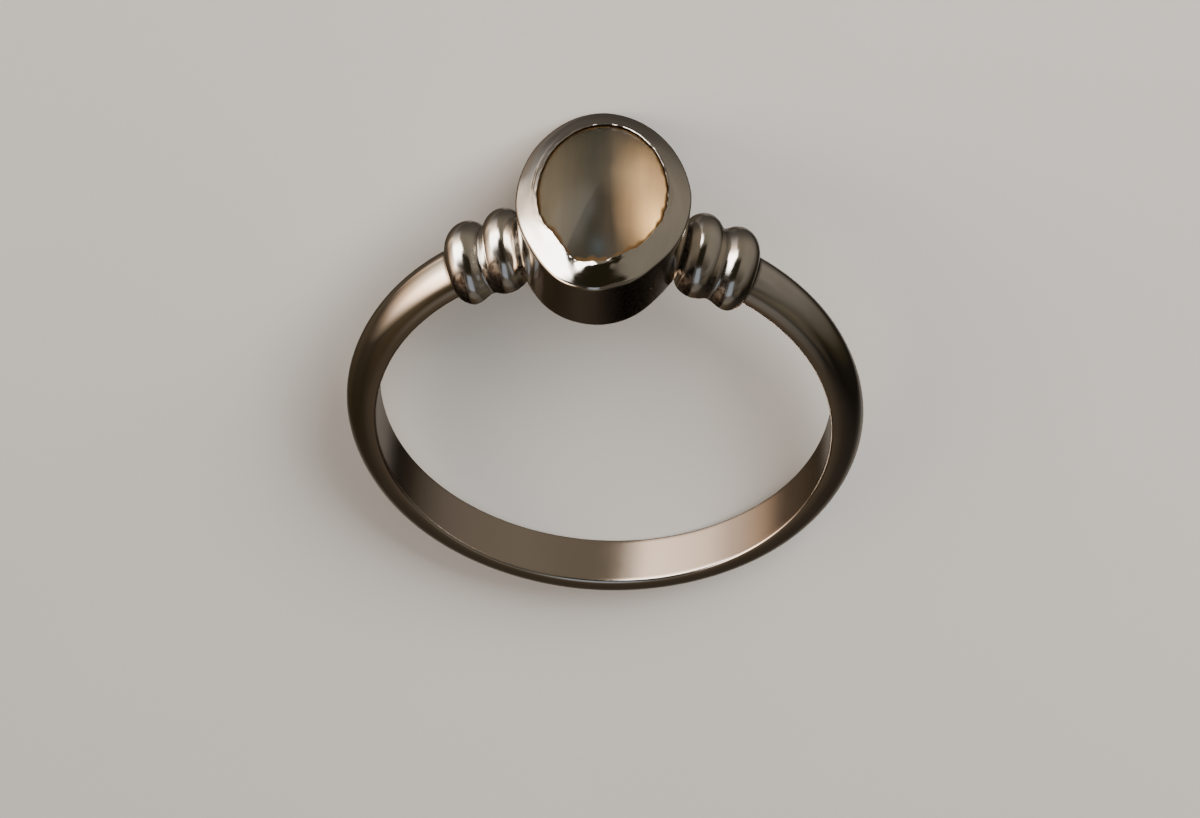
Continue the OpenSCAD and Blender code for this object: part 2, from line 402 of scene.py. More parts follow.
def ripple(points, height, length, seed):
    """Soft waviness of about this height, with waves of about this length in millimetres.

    The waves run in seven odd directions, each a little longer than the one before, so that no
    pattern repeats.
    """
    total = np.zeros(len(points))
    waves = 7
    steepest = 0.9
    for wave in range(waves):
        turn = 2.4 * wave + 1.7 * seed
        rise = math.sin(1.3 * wave + 0.9 * seed) * steepest
        flat = math.sqrt(1 - rise * rise)
        direction = np.array([flat * math.cos(turn), flat * math.sin(turn), rise])
        pitch = length * (0.7 + 0.12 * wave)
        total += np.sin(points @ direction * (FULL_TURN / pitch) + 3.1 * wave + seed)
    return height * total / math.sqrt(waves)


def bump_at(values, centre, width):
    """A smooth bump of height 1 at the centre, about twice the width across."""
    return np.exp(-((values - centre) / width) ** 2)


def eased(value, low, high):
    """0 up to low, 1 from high on, and a smooth way between."""
    share = np.clip((value - low) / (high - low), 0, 1)
    return share * share * (3 - 2 * share)


def smooth_union(a, b, fillet):
    close = np.maximum(fillet - np.abs(a - b), 0) / fillet
    return np.minimum(a, b) - close * close * fillet / 4


def smooth_cut(a, b, fillet):
    """What is inside both a and b, with a rounded edge."""
    return -smooth_union(-a, -b, fillet)


def band_field(points):
    """Distance to the band's outside, negative inside the metal."""
    radial = np.hypot(points[:, 0], points[:, 2])
    return np.hypot(np.maximum(radial - BAND_ROUND_AT, 0), points[:, 1]) - BAND_HALF


def collar_field(points, collar):
    """Distance to one round wire bent over the band, and filled inside its bend."""
    turn = math.radians(collar["side"] * collar["angle"])
    slant = math.radians(collar["slant"])
    out = points[:, 0] * math.sin(turn) + points[:, 2] * math.cos(turn)
    level = points[:, 0] * math.cos(turn) - points[:, 2] * math.sin(turn)
    along = level * math.cos(slant) + points[:, 1] * math.sin(slant)
    side = np.abs(points[:, 1] * math.cos(slant) - level * math.sin(slant))
    corner = COLLAR_HALF - COLLAR_CORNER_R
    rise = BORE_R + BAND_T + COLLAR_RISE - COLLAR_CORNER_R - COLLAR_BEND_AT
    bend_r = (corner * corner + rise * rise) / (2 * rise)
    bend_at = COLLAR_BEND_AT + rise - bend_r
    over_bend = np.hypot(out - bend_at, side) - bend_r
    beside = side - corner
    off_corner = np.hypot(out - COLLAR_BEND_AT, side - corner)
    inside_bend = side * (COLLAR_BEND_AT - bend_at) <= corner * (out - bend_at)
    outline = np.where(inside_bend, over_bend, np.where(out <= COLLAR_BEND_AT, beside, off_corner))
    from_wire = np.maximum(outline - (COLLAR_CORNER_R - WIRE_R), 0)
    return np.hypot(from_wire, along) - WIRE_R


def stray(turn, places):
    """How far an outline of the cup stands out at each turn, in radians, of its even shape."""
    total = np.zeros(np.shape(turn))
    for middle, width, out in places:
        apart = (np.degrees(turn) - middle + 180) % 360 - 180
        total += out * bump_at(apart, 0, width)
    return total


def cup_wall_field(points):
    """Distance to the leaning wall of the cup, below its ridge."""
    share = np.clip((points[:, 2] - BASE_HEIGHT) / (RIDGE_HEIGHT - BASE_HEIGHT), 0, 1)
    turn = np.arctan2(points[:, 1] / BASE_HALF[1], points[:, 0] / BASE_HALF[0])
    out = stray(turn, BASE_STRAYS) * (1 - share) + stray(turn, RIDGE_STRAYS) * share
    half_w = BASE_HALF[0] + (RIDGE_HALF[0] - BASE_HALF[0]) * share
    half_l = BASE_HALF[1] + (RIDGE_HALF[1] - BASE_HALF[1]) * share
    n = CUP_FULLNESS
    x = np.abs(points[:, 0]) / half_w
    y = np.abs(points[:, 1]) / half_l
    size = np.maximum((x ** n + y ** n) ** (1 / n), TINY)
    slope = np.hypot((x / size) ** (n - 1) / half_w, (y / size) ** (n - 1) / half_l)
    return np.maximum((size - 1) / np.maximum(slope, TINY) - out, BASE_HEIGHT - points[:, 2])


def crease(points):
    """1 where two of the soldered pieces meet near the cup, and falling to 0 about 0.3 mm away."""
    fields = [band_field(points), cup_wall_field(points)]
    fields += [collar_field(points, collar) for collar in COLLARS]
    second = np.sort(np.abs(np.stack(fields)), axis=0)[1]
    return np.exp(-(second / CREASE_REACH) ** 1.5) * (points[:, 2] > 0)


def superellipse(turn, half_w, half_l, fullness):
    power = 2 / fullness
    x = half_w * np.sign(np.cos(turn)) * np.abs(np.cos(turn)) ** power
    y = half_l * np.sign(np.sin(turn)) * np.abs(np.sin(turn)) ** power
    return x, y


def grid_faces(rows, columns, close_rows):
    """Quads over a grid of points whose columns close on themselves."""
    near = np.arange(rows if close_rows else rows - 1)[:, None] * columns
    far = (near + columns) % (rows * columns)
    here = np.arange(columns)[None, :]
    after = (here + 1) % columns
    return np.stack([near + here, near + after, far + after, far + here], -1).reshape(-1, 4)


def closed_faces(rows, columns):
    """Quads over such a grid, and a cap on its first and its last row."""
    last = (rows - 1) * columns
    caps = [list(range(columns))[::-1], list(range(last, last + columns))]
    return grid_faces(rows, columns, False).tolist() + caps


def add_piece(name, points, faces, material, node, values, normals=None):
    """A mesh piece of the object, with its named values at each point, riding on the root."""
    mesh = bpy.data.meshes.new(name)
    mesh.from_pydata(to_row(points).tolist(), [], [list(face) for face in faces])
    mesh.polygons.foreach_set("use_smooth", np.ones(len(mesh.polygons), bool))
    for key, value in values.items():
        kind, field = ("FLOAT", "value") if value.ndim == 1 else ("FLOAT_VECTOR", "vector")
        layer = mesh.attributes.new(key, kind, "POINT")
        layer.data.foreach_set(field, value.astype(np.float32).ravel())
    mesh.materials.append(material)
    if normals is not None:
        mesh.normals_split_custom_set_from_vertices((normals @ TO_ROW).tolist())
    piece = bpy.data.objects.new(name, mesh)
    bpy.context.scene.collection.objects.link(piece)
    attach(piece, "root")
    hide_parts(node)


def band_section(upper_half):
    """Closed outline of the band, as distance from the finger axis and place along it."""
    inner_steps, corner_steps, outer_steps = 18, 7, 45
    quarter = math.pi / 2
    inner = np.linspace(BAND_EASE - BAND_HALF, upper_half - BAND_EASE, inner_steps)
    turn = np.linspace(0, quarter, corner_steps)
    ease_r = BORE_R + BAND_EASE * (1 - np.cos(turn))
    ease_y = BAND_EASE * (np.sin(turn) - 1)
    sweep = np.linspace(quarter, -quarter, outer_steps)
    out_y = np.where(sweep > 0, upper_half, BAND_HALF) * np.sin(sweep)
    radial = [np.full(len(inner), BORE_R), ease_r[1:]]
    along = [inner, upper_half + ease_y[1:]]
    radial += [BAND_ROUND_AT + BAND_HALF * np.cos(sweep), ease_r[-1:0:-1]]
    along += [out_y, -BAND_HALF - ease_y[-1:0:-1]]
    return np.concatenate(radial), np.concatenate(along)


def make_band(material):
    rows = []
    lanes = []
    for turn in turns(BAND_STEPS):
        back = (0.5 - 0.5 * math.cos(turn)) ** 2
        radial, along = band_section(BAND_HALF + BAND_BACK_EXTRA * back)
        outside = (radial - BORE_R) / BAND_T
        radial = radial + outside * (waviness(turn, BAND_WAVES) - BAND_FILED)
        rows.append(np.stack([radial * math.sin(turn), along, radial * math.cos(turn)], -1))
        lanes.append(np.stack([np.full(len(radial), turn * BORE_R), along, radial], -1))
    columns = len(rows[0])
    points = np.concatenate(rows)
    lane = np.concatenate(lanes)
    inside = np.clip(1 - (lane[:, 2] - BORE_R) / BAND_INSIDE_SKIN, 0, 1)
    values = {"tarnish_and_shade": crease(points) * (1 - inside), "satin": inside, "lane": lane}
    faces = grid_faces(BAND_STEPS, columns, True)
    add_piece("band", points, faces, material, "silver_ring", values)


def lip_unevenness(turn):
    """How far the burnished lip strays outwards, in millimetres, with its small burrs."""
    burrs = np.sin(59 * turn) * np.sin(17 * turn + 0.5) + 0.7 * np.sin(83 * turn + 1.3)
    nicks = np.sin(53 * turn + 1.0)
    ragged = bump_at(turn, BURRS["turn"], BURRS["width"]) * burrs * BURRS["out"]
    ragged += bump_at(turn, NICKS["turn"], NICKS["width"]) * nicks * NICKS["out"]
    return waviness(turn, LIP_WAVES) + ragged


def inset_row(half, inset, *rest):
    return (half[0] - inset, half[1] - inset, *rest)


def scaled_row(half, scale, *rest):
    return (half[0] * scale, half[1] * scale, *rest)


def base_rows():
    """Profile of the flat base of the cup and of its rounded edge."""
    rest = (CUP_FULLNESS, AT_BASE)
    rows = [scaled_row(BASE_HALF, scale, BASE_HEIGHT, *rest) for scale in (0.02, 0.3, 0.6, 0.85)]
    for turn in np.radians([0, 30, 60, 90]):
        height = BASE_HEIGHT + BASE_ROUND_R * (1 - math.cos(turn))
        rows.append(inset_row(BASE_HALF, BASE_ROUND_R * (1 - math.sin(turn)), height, *rest))
    return rows


def ridge_rows():
    """Profile of the ridge, round between the wall's lean and the rim's slope."""
    steps = 14
    lean = math.atan2(RIDGE_HALF[0] - BASE_HALF[0], RIDGE_HEIGHT - BASE_HEIGHT)
    slope = math.atan2(CREST_HEIGHT - RIDGE_HEIGHT, RIDGE_HALF[0] - SHOW_HALF[0])
    rows = []
    for turn in np.linspace(-lean, math.pi / 2 - slope, steps):
        height = RIDGE_HEIGHT + RIDGE_R * math.sin(turn)
        inset = RIDGE_R * (1 - math.cos(turn))
        rows.append(inset_row(RIDGE_HALF, inset, height, CUP_FULLNESS, AT_RIDGE))
    return rows


def wall_rows(foot, ridge):
    """Profile between the base's edge and the start of the ridge."""
    steps = 10
    foot, ridge = np.array(foot), np.array(ridge)
    return [tuple(foot + (ridge - foot) * step / steps) for step in range(1, steps)]


def rim_rows(rim_foot):
    """Profile of the slightly swollen rim and of the round lip, with closer rows near the lip."""
    steps = 34
    crowding = 1.4
    rim_end = (SHOW_HALF[0] + LIP_R, SHOW_HALF[1] + LIP_R, CREST_HEIGHT)
    rows = []
    for step in np.linspace(0, 1, steps)[1:]:
        share = 1 - (1 - step) ** crowding
        half_w, half_l, height = (a + (b - a) * share for a, b in zip(rim_foot[:3], rim_end))
        height += RIM_SWELL * math.sin(math.pi * share)
        fullness = CUP_FULLNESS + (OVAL_FULLNESS - CUP_FULLNESS) * share
        rows.append((half_w, half_l, height, fullness, AT_RIDGE + share))
    for turn in np.radians([25, 50, 75, 90]):
        height = CREST_HEIGHT - LIP_R * (1 - math.cos(turn))
        rows.append(inset_row(rim_end, LIP_R * math.sin(turn), height, OVAL_FULLNESS, AT_LIP))
    return rows


def pocket_rows():
    """Profile of the lip's underside and of the pocket that holds the stone, down to its seat."""
    undercut = 0.01
    rest = (OVAL_FULLNESS, IN_POCKET)
    ceiling = float(stone_height(GIRDLE_HALF[0], 0.0)) + STONE_GAP
    pocket = (GIRDLE_HALF[0] + STONE_GAP, GIRDLE_HALF[1] + STONE_GAP)
    rows = [inset_row(SHOW_HALF, -undercut, CREST_HEIGHT - LIP_T, OVAL_FULLNESS, AT_LIP)]
    rows.append((*pocket, ceiling, *rest))
    rows += [scaled_row(pocket, scale, SEAT_HEIGHT - STONE_GAP, *rest) for scale in (1, 0.7, 0.35, 0.02)]
    return rows


def cup_profile():
    """Rows of half width, half length, height, fullness, and level.

    The level goes from 0 at the base to 1 at the ridge and 2 at the lip, and is 3 in the pocket.
    """
    base = base_rows()
    ridge = ridge_rows()
    return base + wall_rows(base[-1], ridge[0]) + ridge + rim_rows(ridge[-1]) + pocket_rows()


def cup_stray(turn, level):
    """How far the cup stands out at each turn of one level of its profile."""
    if level > AT_LIP:
        return np.zeros(np.shape(turn))
    if level <= AT_RIDGE:
        return stray(turn, BASE_STRAYS) * (1 - level) + stray(turn, RIDGE_STRAYS) * level
    lip = max(level - LIP_LEVEL, 0) / (AT_LIP - LIP_LEVEL)
    even = stray(turn, RIDGE_STRAYS) * (AT_LIP - level) + stray(turn, SHOW_STRAYS) * (level - AT_RIDGE)
    return even + lip_unevenness(turn) * lip ** 2


def dome_drop(half_width):
    return DOME_R - np.sqrt(DOME_R * DOME_R - half_width * half_width)


def dome_top():
    return CREST_HEIGHT - LIP_T - STONE_GAP + dome_drop(SHOW_HALF[0])


def stone_height(x, y):
    """Height of the dome over a place in the setting, level beyond the girdle."""
    return dome_top() - dome_drop(np.minimum(np.hypot(x, y / DOME_LONG), GIRDLE_HALF[0]))


def lip_relief(turn, from_lip):
    """Height of the beads and grooves beside the lip, at a distance outside it."""
    uneven = 0.8 + 0.2 * np.sin(21 * turn + 0.6) * np.sin(13 * turn)
    height = np.zeros(np.shape(turn))
    for place, distance, half in LIP_LINES:
        height += stray(turn, [place]) * bump_at(from_lip, distance, half)
    return height * uneven


def lip_shifts(turn):
    """How much higher the stone is under the strayed lip: the soft part and the fine rest of it."""
    x, y = superellipse(turn, *SHOW_HALF, OVAL_FULLNESS)
    out = np.hypot(x, y)
    even_height = float(stone_height(SHOW_HALF[0], 0.0))
    soft_scale = 1 + stray(turn, SHOW_STRAYS) / out
    soft = stone_height(x * soft_scale, y * soft_scale) - even_height
    full_scale = 1 + cup_stray(turn, AT_LIP) / out
    fine = stone_height(x * full_scale, y * full_scale) - even_height - soft
    return soft, fine


def cup_outward(points):
    """Rough outward direction of the cup's outside."""
    flat = points * [1, (RIDGE_HALF[0] / RIDGE_HALF[1]) ** 2, 0]
    return flat / np.maximum(np.linalg.norm(flat, axis=1, keepdims=True), TINY)


def cup_points(profile, turn):
    """Points of the cup, row by row, and their places on its unrolled surface."""
    least_out = 0.1
    soft_shift, fine_shift = lip_shifts(turn)
    rows = []
    lanes = []
    length = 0.0
    before = None
    for half_w, half_l, height, fullness, level in profile:
        x, y = superellipse(turn, half_w, half_l, fullness)
        out = np.hypot(x, y)
        near_middle = min(out.max() / BASE_HALF[0], 1)
        scale = 1 + cup_stray(turn, level) * near_middle / np.maximum(out, least_out)
        x, y = x * scale, y * scale
        z = np.full(len(turn), height)
        if AT_RIDGE < level <= AT_LIP:
            z = z + soft_shift * eased(level, *SOFT_LEVELS) + fine_shift * eased(level, *FINE_LEVELS)
            z = z + lip_relief(turn, half_w - SHOW_HALF[0])
        elif level > AT_LIP and height > SEAT_HEIGHT:
            z = stone_height(x, y) + STONE_GAP
        rows.append(np.stack([x, y, z], -1))
        if before is not None:
            length += math.dist((half_w, height), before)
        before = (half_w, height)
        lanes.append(np.stack([turn * half_l, np.full(len(turn), length), z], -1))
    points = np.concatenate(rows)
    points = points + ripple(points, **CUP_RIPPLE)[:, None] * cup_outward(points)
    return points, np.concatenate(lanes)


def cup_tarnish_and_shade(points, profile, turn):
    """Tarnish in the creases, and painted shade on part of the wall, on part of the lip and under the lip.
    """
    level = np.repeat([row[4] for row in profile], len(turn))
    first_on_lip = np.argmax(level >= AT_LIP)
    rows_before_hidden = 2
    on_wall = np.repeat([row[0] > BASE_HALF[0] - BASE_ROUND_R for row in profile], len(turn))
    # Painted shade on part of the cup's wall
    painted_shade = np.tile(stray(turn, [CUP_PAINTED_SHADE]), len(profile)) * on_wall
    tarnish_and_shade = np.maximum(crease(points), painted_shade) * (points[:, 2] < RIDGE_HEIGHT)
    # Painted shade on a stretch of the lip
    tarnish_and_shade[level >= AT_LIP] = np.tile(stray(turn, [LIP_PAINTED_SHADE]), len(profile))[level >= AT_LIP]
    # Painted shade: the inner side of the lip and the pocket under it are fully dark
    tarnish_and_shade[first_on_lip + rows_before_hidden * len(turn):] = 1
    return tarnish_and_shade


def make_cup(material):
    turn = turns(CUP_STEPS)
    profile = cup_profile()
    points, lane = cup_points(profile, turn)
    tarnish_and_shade = cup_tarnish_and_shade(points, profile, turn)
    values = {"tarnish_and_shade": tarnish_and_shade, "satin": np.zeros(len(points)), "lane": lane}
    faces = closed_faces(len(profile), CUP_STEPS)
    add_piece("cup", points, faces, material, "silver_ring", values)


def shoulder_field(points, side):
    """Distance to the two collars of one side with their solder, next to the band and the cup."""
    inner, outer = (collar_field(points, collar) for collar in COLLARS if collar["side"] == side)
    metal = smooth_union(inner, outer, COLLAR_FILLET) + ripple(points, **COLLAR_RIPPLE)
    metal = smooth_union(metal, band_field(points) + SUNK, BAND_FILLET)
    solder = ripple(points, **SOLDER_RIPPLE)
    metal = smooth_union(metal, cup_wall_field(points) + SUNK + solder, CUP_FILLET)
    hole = BORE_R + SUNK - np.hypot(points[:, 0], points[:, 2])
    return smooth_cut(metal, hole, HOLE_FILLET)


def slope_of(field, points):
    """Gradient of a field at points, by differences."""
    reach = 1e-3
    parts = []
    for axis in range(3):
        offset = np.zeros(3)
        offset[axis] = reach
        parts.append((field(points + offset) - field(points - offset)) / (2 * reach))
    return np.stack(parts, -1)


def sampled(field, low, high, step):
    """The field over a grid of the box, kept above 0 on the box's sides so that its mesh closes."""
    axes = [np.arange(a, b + step / 2, step) for a, b in zip(low, high)]
    corners = np.stack(np.meshgrid(*axes, indexing="ij"), -1)
    value = field(corners.reshape(-1, 3)).reshape(corners.shape[:3])
    for axis in range(3):
        ends = np.moveaxis(value, axis, 0)
        ends[0] = np.maximum(ends[0], step / 2)
        ends[-1] = np.maximum(ends[-1], step / 2)
    return value


def crossings(value, axis):
    """Grid edges along one axis where the field changes sign.

    Gives where each is crossed, the four cells round it, and whether its face looks outwards.
    """
    near = [slice(None)] * 3
    far = [slice(None)] * 3
    near[axis] = slice(0, -1)
    far[axis] = slice(1, None)
    a, b = value[tuple(near)], value[tuple(far)]
    crossed = (a < 0) != (b < 0)
    a, b = a[crossed], b[crossed]
    index = np.argwhere(crossed)
    place = index.astype(float)
    place[:, axis] += a / (a - b)
    first, second = (other for other in range(3) if other != axis)
    cells = []
    for shift in ((0, 0), (1, 0), (1, 1), (0, 1)):
        cell = index.copy()
        cell[:, first] -= shift[0]
        cell[:, second] -= shift[1]
        cells.append(cell)
    return place, cells, (a < 0) ^ (axis == 1)


def surface_of(field, low, high, step):
    """Closed mesh of the surface where the field is zero, one point in each cell that it crosses."""
    value = sampled(field, low, high, step)
    grid = [size - 1 for size in value.shape]
    total = np.zeros([*grid, 3])
    count = np.zeros(grid)
    edges = [crossings(value, axis) for axis in range(3)]
    for place, cells, _ in edges:
        for cell in cells:
            np.add.at(total, tuple(cell.T), place)
            np.add.at(count, tuple(cell.T), 1)
    used = count > 0
    number = np.full(grid, -1)
    number[used] = np.arange(used.sum())
    points = total[used] / count[used][:, None] * step + np.array(low)
    faces = []
    for _, cells, outward in edges:
        quads = np.stack([number[tuple(cell.T)] for cell in cells], -1)
        faces.append(np.where(outward[:, None], quads, quads[:, ::-1]))
    return points, np.concatenate(faces)


def drawn_in(points, field, low, high, step):
    """Points moved onto the surface of the field, apart from those at the sides of the box."""
    rounds = 3
    least_slope = 0.05
    for _ in range(rounds):
        slope = slope_of(field, points)
        steepness = np.maximum((slope ** 2).sum(1, keepdims=True), least_slope)
        move = -field(points)[:, None] * slope / steepness
        at_side = (np.abs(points - low) < step * 1.5) | (np.abs(points - high) < step * 1.5)
        move[at_side.any(1)] = 0
        points = points + np.clip(move, -step, step)
    return points


def make_shoulder(side, name, material):
    low, high = list(SHOULDER_LOW), list(SHOULDER_HIGH)
    if side < 0:
        low[0], high[0] = -high[0], -low[0]

    def field(points):
        return shoulder_field(points, side)

    points, faces = surface_of(field, low, high, SHOULDER_CELL)
    points = drawn_in(points, field, low, high, SHOULDER_CELL)
    slope = slope_of(field, points)
    normals = slope / np.maximum(np.linalg.norm(slope, axis=1, keepdims=True), TINY)
    # Painted shade: the collar flanks that face +y and +x are darkened
    painted_shade = eased(normals[:, 1], *PAINTED_SHADE_FROM_UP) * eased(normals[:, 0], *PAINTED_SHADE_FROM_LEFT)
    values = {
        "tarnish_and_shade": np.maximum(crease(points), painted_shade),
        "satin": np.full(len(points), COLLAR_SATIN),
        "lane": points,
    }
    add_piece(name, points, faces, material, "silver_ring", values, normals)


def make_stone(material):
    """The cabochon: its flat underside, its straight side and its dome, with grime at the lip."""
    turn = turns(STONE_STEPS)
    opening = np.hypot(*superellipse(turn, *SHOW_HALF, OVAL_FULLNESS))
    lip_reach = SHOW_HALF[0] * (1 + cup_stray(turn, AT_LIP) / opening)
    grime_width = GRIME_WIDTH + waviness(turn, GRIME_WAVES)
    points = []
    grime = []
    for scale in (0.02, 0.4, 0.8, 0.97, 1.0):
        x, y = superellipse(turn, GIRDLE_HALF[0] * scale, GIRDLE_HALF[1] * scale, OVAL_FULLNESS)
        height = SEAT_HEIGHT + (STONE_BEVEL if scale == 1.0 else STONE_LIFT)
        points.append(np.stack([x, y, np.full(STONE_STEPS, height)], -1))
        grime.append(np.ones(STONE_STEPS))
    near_top = 0.01
    for scale in np.sin(np.linspace(math.pi / 2, near_top, DOME_STEPS)):
        half_w = GIRDLE_HALF[0] * scale
        x, y = superellipse(turn, half_w, min(half_w * DOME_LONG, GIRDLE_HALF[1]), OVAL_FULLNESS)
        points.append(np.stack([x, y, stone_height(x, y)], -1))
        grime.append(np.clip((half_w - lip_reach) / grime_width + GRIME_REACH, 0, 1))
    faces = closed_faces(len(points), STONE_STEPS)
    points = np.concatenate(points)
    values = {"place": points, "grime": np.concatenate(grime)}
    add_piece("cabochon", points, faces, material, "moonstone", values)


class Nodes:
    """Short way to write a node tree."""

    def __init__(self, tree):
        self.tree = tree
        self.tree.nodes.clear()

    def add(self, kind, inputs=None, **settings):
        made = self.tree.nodes.new(kind)
        for key, value in settings.items():
            setattr(made, key, value)
        for key, value in (inputs or {}).items():
            if isinstance(value, bpy.types.NodeSocket):
                self.tree.links.new(value, made.inputs[key])
            else:
                made.inputs[key].default_value = value
        return made

    def math(self, operation, *values):
        return self.add("ShaderNodeMath", dict(enumerate(values)), operation=operation).outputs[0]

    def rise(self, value, low, high):
        """0 at low and 1 at high, in a straight line between, and no further."""
        made = self.add("ShaderNodeMapRange", {"Value": value, "From Min": low, "From Max": high})
        return made.outputs["Result"]

    def ramp(self, value, *stops):
        made = self.add("ShaderNodeValToRGB", {0: value})
        while len(made.color_ramp.elements) < len(stops):
            made.color_ramp.elements.new(0.5)
        for element, (place, colour) in zip(made.color_ramp.elements, stops):
            element.position = place
            element.color = (*colour, 1) if isinstance(colour, tuple) else (colour, colour, colour, 1)
        return made.outputs["Color"]

    def window(self, angle, reach, stops):
        """A level over an angle between -reach and reach degrees, from stops of (angle, level)."""
        places = [((stop + reach) / (2 * reach), level) for stop, level in stops]
        return self.ramp(self.rise(angle, -reach, reach), *places)

    def mix(self, share, a, b, blend="MIX"):
        made = self.add("ShaderNodeMix", {0: share}, data_type="RGBA", blend_type=blend)
        for socket, value in ((made.inputs[6], a), (made.inputs[7], b)):
            if isinstance(value, bpy.types.NodeSocket):
                self.tree.links.new(value, socket)
            else:
                socket.default_value = (*value, 1)
        return made.outputs[2]

    def times(self, a, b):
        return self.mix(1.0, a, b, "MULTIPLY")

    def plus(self, a, b):
        return self.mix(1.0, a, b, "ADD")

    def noise(self, vector, scale, detail=2.0, roughness=0.5):
        made = self.add("ShaderNodeTexNoise", {"Vector": vector, "Scale": scale, "Detail": detail})
        made.inputs["Roughness"].default_value = roughness
        return made.outputs["Fac"]

    def stretched(self, vector, scale, turn):
        made = self.add("ShaderNodeMapping", {"Vector": vector, "Rotation": (0, 0, turn), "Scale": scale})
        return made.outputs["Vector"]

    def spot(self, place, centre, half):
        """1 at a centre across and along, and falling softly to 0 at these half sizes."""
        scale = (1 / half[0], 1 / half[1], 0.0)
        offset = (-centre[0] / half[0], -centre[1] / half[1], 0.0)
        moved = self.add("ShaderNodeMapping", {"Vector": place, "Location": offset, "Scale": scale})
        inputs = {"Vector": moved.outputs["Vector"]}
        return self.add("ShaderNodeTexGradient", inputs, gradient_type="QUADRATIC_SPHERE").outputs["Fac"]

    def relief(self, height, strength):
        """Shading direction of fine relief, whose heights are in thousandths of a millimetre."""
        made = self.add("ShaderNodeBump", {"Strength": strength, "Distance": RELIEF_UNIT, "Height": height})
        return made.outputs["Normal"]

    def read(self, name):
        return self.add("ShaderNodeAttribute", attribute_name=name, attribute_type="GEOMETRY")

    def surface(self, inputs):
        """The principled surface that the material shows."""
        shader = self.add("ShaderNodeBsdfPrincipled", inputs)
        self.add("ShaderNodeOutputMaterial", {"Surface": shader.outputs["BSDF"]})


def new_material(name):
    material = bpy.data.materials.new(name)
    material.use_nodes = True
    return material, Nodes(material.node_tree)


def silver_relief(n, lane, fine, satin):
    """Scratches in three directions over a fine grain, nearly smooth where the metal is satin."""
    lines = None
    for scratch in SCRATCHES:
        noise = n.noise(n.stretched(lane, scratch["scale"], scratch["turn"]), 1.0, 1.0)
        streak = n.ramp(noise, (0.62, 0.0), (0.7, 1.0))
        lines = streak if lines is None else n.math("ADD", lines, streak)
    height = n.math("MULTIPLY_ADD", lines, -SCRATCH_DEPTH, n.math("MULTIPLY", fine, GRAIN_HEIGHT))
    height = n.math("MULTIPLY", height, n.math("MULTIPLY_ADD", satin, -SATIN_SMOOTHS, 1.0))
    return n.relief(height, 0.35)


def silver_material():
    """Warm polished silver with smudges, scratches, dark tarnish and painted shade, satin inside the band.
    """
    material, n = new_material("silver")
    lane = n.read("lane").outputs["Vector"]
    tarnish_and_shade = n.read("tarnish_and_shade").outputs["Fac"]
    satin = n.read("satin").outputs["Fac"]
    smudge = n.noise(lane, 0.7, 4.0, 0.55)
    fine = n.noise(lane, 6.0, 3.0, 0.6)
    grainy = n.ramp(fine, (0.3, 0.8), (0.65, 1.0))
    # Tarnish in the creases, and painted shade on the collar flanks, the cup's wall, the lip and under it
    patina_and_shade = n.math("MULTIPLY", n.ramp(tarnish_and_shade, (0.25, 0.0), (0.85, 1.0)), grainy)
    colour = n.mix(n.ramp(smudge, (0.35, 0.0), (0.7, 1.0)), SILVER_CLEAN, SILVER_SMUDGED)
    colour = n.mix(n.ramp(satin, (0.7, 0.0), (1.0, 1.0)), colour, SILVER_INSIDE)
    colour = n.mix(patina_and_shade, colour, SILVER_TARNISH_AND_SHADE)
    rough = n.ramp(smudge, *SMUDGE_ROUGH)
    rough = n.math("MULTIPLY_ADD", satin, SATIN_ROUGH, rough)
    rough = n.math("MULTIPLY_ADD", patina_and_shade, TARNISH_AND_SHADE_ROUGH, rough)
    normal = silver_relief(n, lane, fine, satin)
    n.surface({"Base Color": colour, "Metallic": 1.0, "Roughness": rough, "Normal": normal})
    return material


def stone_body_and_shade(n, place, parts, across, along):
    """The stone's grey olive colour on the +x side, and painted shade in a dark band down the middle.

    The band, a painted reflection of the dark gap between the lights, widens towards +y into a
    flame with a crisp edge, beside a bluish spot.
    """
    body = n.times(n.ramp(across, *BODY_AND_SHADE_ACROSS), n.ramp(along, *BODY_ALONG))
    # Painted shade: the flame at the foot of the dark band
    from_edge = n.math("MULTIPLY_ADD", parts["Y"], FLAME_LEAN, n.math("ADD", parts["X"], FLAME_SHIFT))
    in_flame = n.rise(from_edge, FLAME_EDGE, -FLAME_EDGE)
    in_flame = n.math("MULTIPLY", in_flame, n.rise(parts["Y"], *FLAME_WIDENS))
    body = n.mix(n.math("MULTIPLY", in_flame, FLAME_DARK), body, (0.0, 0.0, 0.0))
    cool = n.spot(place, COOL_SPOT["centre"], COOL_SPOT["half"])
    return n.mix(cool, body, COOL_SPOT["colour"])


def painted_stone_glow(n, place, parts, across, along):
    """Painted light: the peach glow inside the stone on the -x side, and its brightest spot."""
    leaned = n.math("MULTIPLY_ADD", n.math("MAXIMUM", parts["Y"], 0.0), GLOW_LEAN, across)
    glow = n.times(n.ramp(leaned, *GLOW_ACROSS), n.ramp(along, *GLOW_ALONG))
    spot = n.spot(place, PAINTED_GLOW_SPOT["centre"], PAINTED_GLOW_SPOT["half"])
    return n.plus(glow, n.mix(spot, (0.0, 0.0, 0.0), PAINTED_GLOW_SPOT["colour"]))


